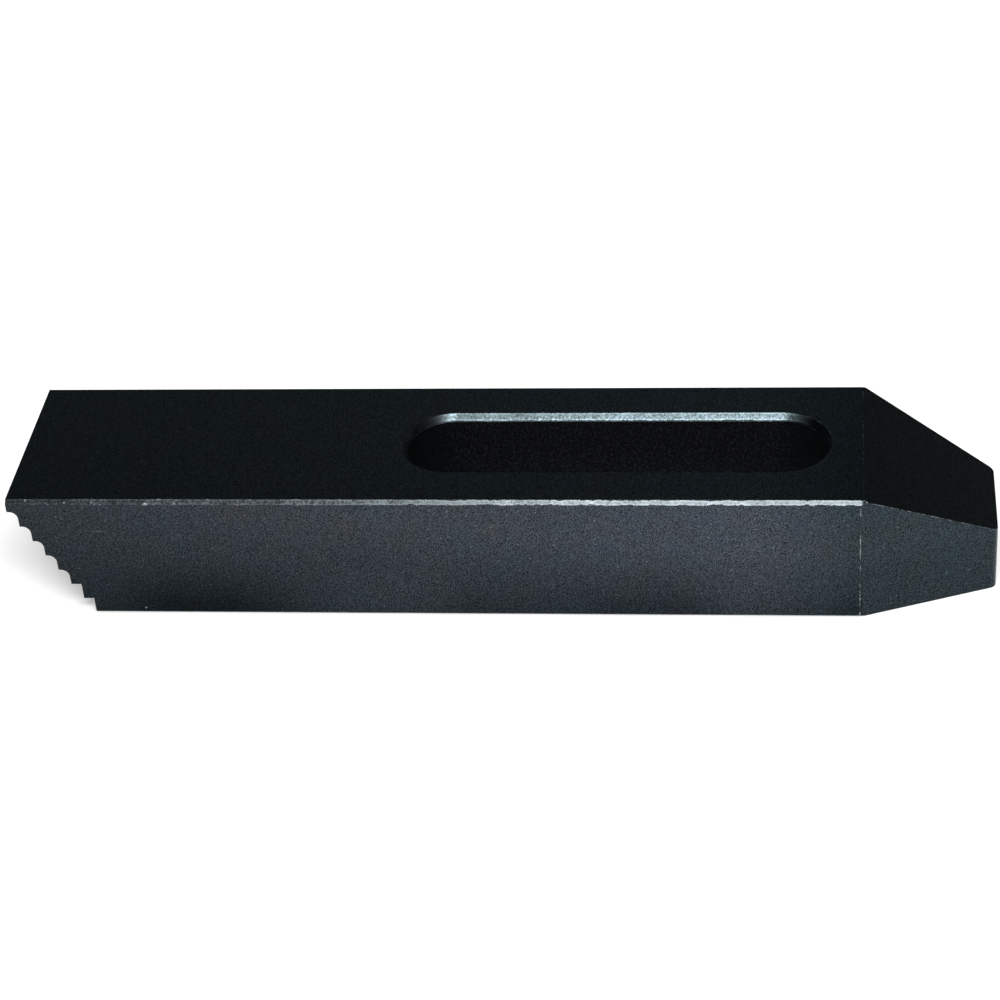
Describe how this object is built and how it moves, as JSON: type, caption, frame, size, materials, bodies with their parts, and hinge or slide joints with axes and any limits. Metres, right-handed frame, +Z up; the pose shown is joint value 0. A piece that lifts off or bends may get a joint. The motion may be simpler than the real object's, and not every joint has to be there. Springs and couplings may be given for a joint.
{
  "type": "step clamp",
  "caption": "Steel strap clamp with a long chamfered stud slot, a nose tapered on top and both sides, and a stepped heel that rests on a step block.",
  "frame": {"origin": "middle of the outline seen from above, on the underside", "axes": "+Y along the bar from heel to nose, +X across it, +Z up out of the face that the washer sits on"},
  "size_m": [0.0318, 0.1524, 0.0217],
  "materials": {
    "blackened_steel": "satin"
  },
  "bodies": {
    "root": {"clamp_bar": "blackened_steel"}
  },
  "joints": []
}
